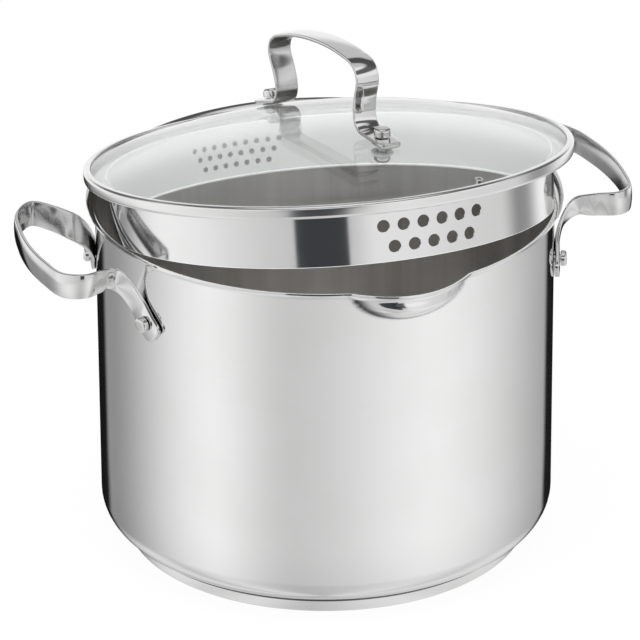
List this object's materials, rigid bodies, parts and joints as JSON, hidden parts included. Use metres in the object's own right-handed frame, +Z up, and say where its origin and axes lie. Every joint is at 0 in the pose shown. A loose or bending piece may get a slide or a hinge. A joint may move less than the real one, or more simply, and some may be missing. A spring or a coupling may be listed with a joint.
{
  "type": "cooking pot with strainer lid",
  "caption": "Polished steel cooking pot with a pouring spout, riveted strap handles and a glass lid whose perforated skirt strains pasta water, lid set ajar",
  "frame": {"origin": "The middle of the base's flat underside, on the pot's own axis.", "axes": "+Z is up along the pot's axis. +X runs through the right side handle, -X through the left one, and -Y points to the front, where the spout is."},
  "size_m": [0.3294, 0.2614, 0.2858],
  "materials": {
    "polished_steel": "mirror-polished stainless steel, satin on the inside",
    "base_steel": "satin stainless steel",
    "base_core": "plain rolled aluminium, enclosed",
    "handle_steel": "mirror-polished stainless steel strap",
    "fixing_steel": "polished stainless steel",
    "ring_steel": "bright rolled stainless steel",
    "lid_glass": "clear tempered glass",
    "silicone": "matt grey silicone"
  },
  "bodies": {
    "pot": {"pot_shell": "polished_steel", "base_cap": "base_steel", "base_core": "base_core", "side_handle_right": "handle_steel", "side_handle_left": "handle_steel", "rivet_right_front": "fixing_steel", "rivet_right_rear": "fixing_steel", "rivet_left_front": "fixing_steel", "rivet_left_rear": "fixing_steel"},
    "lid_rim": {"lid_ring": "ring_steel"},
    "strainer_lid": {"strainer_skirt": "polished_steel", "lid_glass": "lid_glass", "vent_eyelet": "fixing_steel", "lid_handle": "handle_steel", "handle_screw_near": "fixing_steel", "handle_screw_far": "fixing_steel", "pad_gasket_near": "silicone", "pad_gasket_far": "silicone", "glass_washer_near": "silicone", "glass_washer_far": "silicone", "handle_nut_near": "fixing_steel", "handle_nut_far": "fixing_steel"}
  },
  "joints": [
    {"name": "lid_lift", "type": "slide", "parent": "pot", "child": "lid_rim", "axis": [0, 0, 1], "range_m": [0, 0.16]},
    {"name": "lid_turn", "type": "hinge", "parent": "lid_rim", "child": "strainer_lid", "pos_m": [-0.00117, -0.01033, 0.21399], "axis": [0.0134, 0.2104, 0.9775], "continuous": true}
  ]
}
